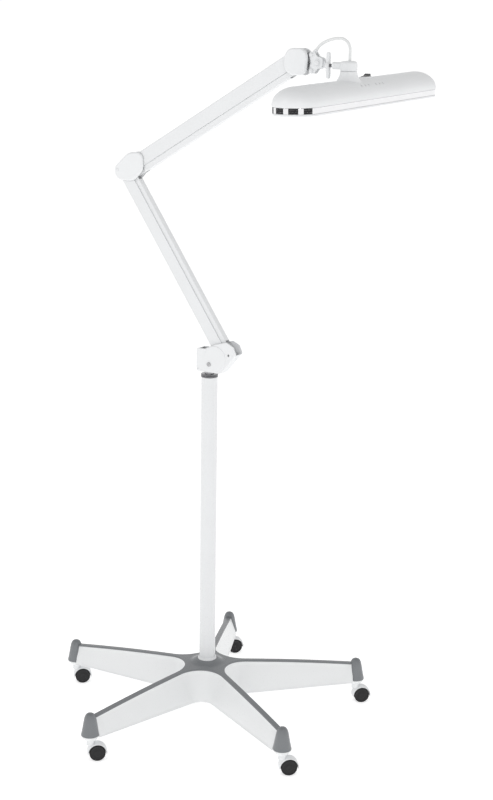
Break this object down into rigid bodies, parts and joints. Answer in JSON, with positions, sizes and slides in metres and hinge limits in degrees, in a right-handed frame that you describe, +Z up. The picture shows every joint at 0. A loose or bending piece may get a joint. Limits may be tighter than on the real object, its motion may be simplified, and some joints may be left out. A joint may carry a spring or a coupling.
{
  "type": "pharmacy floor lamp",
  "caption": "Floor-standing work lamp: a long domed light on a two-part linked arm, over a white pole and a star base on castors.",
  "frame": {"origin": "on the floor, under the middle of the lamp's box at rest, without the jumper cable", "axes": "+Z up; the arms lie in the XZ plane with the head on the +X side; +Y across the arms, along the head towards its switch"},
  "size_m": [0.713, 0.7004, 1.4689],
  "materials": {
    "white_base": "white enamel",
    "white_metal": "satin white paint",
    "white_plastic": "satin white moulding",
    "grey_plastic": "satin mid-grey moulding",
    "wheel_black": "matt black",
    "switch_black": "satin black",
    "chrome_trim": "polished",
    "zinc_steel": "zinc plated",
    "diffuser": "frosted acrylic",
    "board": "white solder mask",
    "cable_sheath": "white sheath"
  },
  "bodies": {
    "base": {"star_base": "white_base", "base_top_cover": "grey_plastic", "leg_cap_1": "grey_plastic", "leg_cap_2": "grey_plastic", "leg_cap_3": "grey_plastic", "leg_cap_4": "grey_plastic", "leg_cap_5": "grey_plastic", "foot_collar": "white_plastic", "pole_bolt": "zinc_steel", "pole": "white_metal", "top_collar": "chrome_trim"},
    "castor_1": {"castor_1_hood": "white_plastic"},
    "castor_2": {"castor_2_hood": "white_plastic"},
    "castor_3": {"castor_3_hood": "white_plastic"},
    "castor_4": {"castor_4_hood": "white_plastic"},
    "castor_5": {"castor_5_hood": "white_plastic"},
    "castor_1_roller": {"castor_1_wheels": "wheel_black"},
    "castor_2_roller": {"castor_2_wheels": "wheel_black"},
    "castor_3_roller": {"castor_3_wheels": "wheel_black"},
    "castor_4_roller": {"castor_4_wheels": "wheel_black"},
    "castor_5_roller": {"castor_5_wheels": "wheel_black"},
    "bracket": {"swivel_spigot": "zinc_steel", "bracket_pivot_pin": "zinc_steel", "bracket_front": "white_plastic", "bracket_back": "white_plastic", "bracket_clamp_screw": "zinc_steel"},
    "lower_arm": {"lower_arm_channel": "white_metal", "lower_arm_spring": "zinc_steel"},
    "lower_link": {"lower_arm_link": "white_metal"},
    "elbow": {"elbow_core": "zinc_steel", "elbow_lower_pin": "zinc_steel", "elbow_upper_pin": "zinc_steel", "elbow_cover_front": "white_plastic", "elbow_cover_back": "white_plastic", "elbow_screw": "zinc_steel"},
    "upper_arm": {"upper_arm_channel": "white_metal", "upper_arm_spring": "zinc_steel"},
    "upper_link": {"upper_arm_link": "white_metal"},
    "arm_end": {"arm_end_core": "zinc_steel", "arm_end_pin": "zinc_steel", "end_cover_front": "white_plastic", "end_cover_back": "white_plastic", "knuckle_plate_front": "white_plastic", "knuckle_plate_back": "white_plastic", "knuckle_bolt_upper": "white_metal", "knuckle_bolt_lower": "white_metal", "tilt_bolt": "white_metal", "cable_gland": "white_plastic", "jumper_cable": "cable_sheath"},
    "tilt": {"tilt_block": "white_metal", "stud": "chrome_trim"},
    "wing": {"wing_nut": "white_plastic"},
    "swivel": {"head_swivel": "white_plastic"},
    "head": {"head_shell": "white_plastic", "rim_band": "chrome_trim", "bottom_frame": "white_plastic", "diffuser": "diffuser", "led_board": "board", "switch_bezel": "white_plastic"},
    "switch": {"rocker": "switch_black"}
  },
  "joints": [
    {"name": "castor_1_swivel", "type": "hinge", "parent": "base", "child": "castor_1", "pos_m": [-0.07508, -0.33069, 0.06], "axis": [0, 0, 1], "continuous": true},
    {"name": "castor_2_swivel", "type": "hinge", "parent": "base", "child": "castor_2", "pos_m": [0.29284, -0.17451, 0.06], "axis": [0, 0, 1], "continuous": true},
    {"name": "castor_3_swivel", "type": "hinge", "parent": "base", "child": "castor_3", "pos_m": [0.258, 0.22366, 0.06], "axis": [0, 0, 1], "continuous": true},
    {"name": "castor_4_swivel", "type": "hinge", "parent": "base", "child": "castor_4", "pos_m": [-0.13145, 0.31357, 0.06], "axis": [0, 0, 1], "continuous": true},
    {"name": "castor_5_swivel", "type": "hinge", "parent": "base", "child": "castor_5", "pos_m": [-0.33731, -0.02903, 0.06], "axis": [0, 0, 1], "continuous": true},
    {"name": "castor_1_roll", "type": "hinge", "parent": "castor_1", "child": "castor_1_roller", "pos_m": [-0.06436, -0.32169, 0.017], "axis": [-0.6428, 0.766, 0], "continuous": true},
    {"name": "castor_2_roll", "type": "hinge", "parent": "castor_2", "child": "castor_2_roller", "pos_m": [0.30356, -0.16551, 0.017], "axis": [-0.6428, 0.766, 0], "continuous": true},
    {"name": "castor_3_roll", "type": "hinge", "parent": "castor_3", "child": "castor_3_roller", "pos_m": [0.26873, 0.23266, 0.017], "axis": [-0.6428, 0.766, 0], "continuous": true},
    {"name": "castor_4_roll", "type": "hinge", "parent": "castor_4", "child": "castor_4_roller", "pos_m": [-0.12072, 0.32257, 0.017], "axis": [-0.6428, 0.766, 0], "continuous": true},
    {"name": "castor_5_roll", "type": "hinge", "parent": "castor_5", "child": "castor_5_roller", "pos_m": [-0.32658, -0.02003, 0.017], "axis": [-0.6428, 0.766, 0], "continuous": true},
    {"name": "arm_turn", "type": "hinge", "parent": "base", "child": "bracket", "pos_m": [0.0014, 0.0006, 0.764], "axis": [0, 0, 1], "continuous": true},
    {"name": "lower_arm_lean", "type": "hinge", "parent": "bracket", "child": "lower_arm", "pos_m": [0.0414, 0.0006, 0.809], "axis": [0, -1, 0], "range_deg": [-50, 8]},
    {"name": "lower_link_lean", "type": "hinge", "parent": "bracket", "child": "lower_link", "pos_m": [0.0564, 0.0006, 0.818], "axis": [0, -1, 0], "range_deg": [-50, 8]},
    {"name": "elbow_level", "type": "hinge", "parent": "lower_arm", "child": "elbow", "pos_m": [-0.20744, 0.0006, 1.17792], "axis": [0, -1, 0], "range_deg": [-8, 50]},
    {"name": "upper_arm_swing", "type": "hinge", "parent": "elbow", "child": "upper_arm", "pos_m": [-0.18444, 0.0006, 1.20292], "axis": [0, -1, 0], "range_deg": [-30, 25]},
    {"name": "upper_link_swing", "type": "hinge", "parent": "elbow", "child": "upper_link", "pos_m": [-0.18144, 0.0006, 1.17992], "axis": [0, -1, 0], "range_deg": [-30, 25]},
    {"name": "arm_end_level", "type": "hinge", "parent": "upper_arm", "child": "arm_end", "pos_m": [0.19898, 0.0006, 1.42878], "axis": [0, -1, 0], "range_deg": [-25, 30]},
    {"name": "head_tilt", "type": "hinge", "parent": "arm_end", "child": "tilt", "pos_m": [0.24598, 0.0006, 1.41928], "axis": [0, -1, 0], "range_deg": [-18, 45], "deforming": ["jumper_cable"]},
    {"name": "wing_nut_turn", "type": "hinge", "parent": "tilt", "child": "wing", "pos_m": [0.26628, 0.0006, 1.41468], "axis": [1, 0, 0], "range_deg": [0, 180]},
    {"name": "head_roll", "type": "hinge", "parent": "tilt", "child": "swivel", "pos_m": [0.28898, 0.0006, 1.41468], "axis": [1, 0, 0], "range_deg": [-30, 30]},
    {"name": "head_turn", "type": "hinge", "parent": "swivel", "child": "head", "pos_m": [0.31098, 0.0006, 1.41468], "axis": [0, -0.0384, 0.9993], "range_deg": [-35, 35]},
    {"name": "switch_tip", "type": "hinge", "parent": "head", "child": "switch", "pos_m": [0.31098, 0.07554, 1.39174], "axis": [1, 0, 0], "range_deg": [-11, 0]}
  ],
  "couplings": [
    {"joint": "lower_link_lean", "follows": "lower_arm_lean", "ratio": 1},
    {"joint": "elbow_level", "follows": "lower_arm_lean", "ratio": -1},
    {"joint": "upper_link_swing", "follows": "upper_arm_swing", "ratio": 1},
    {"joint": "arm_end_level", "follows": "upper_arm_swing", "ratio": -1}
  ]
}
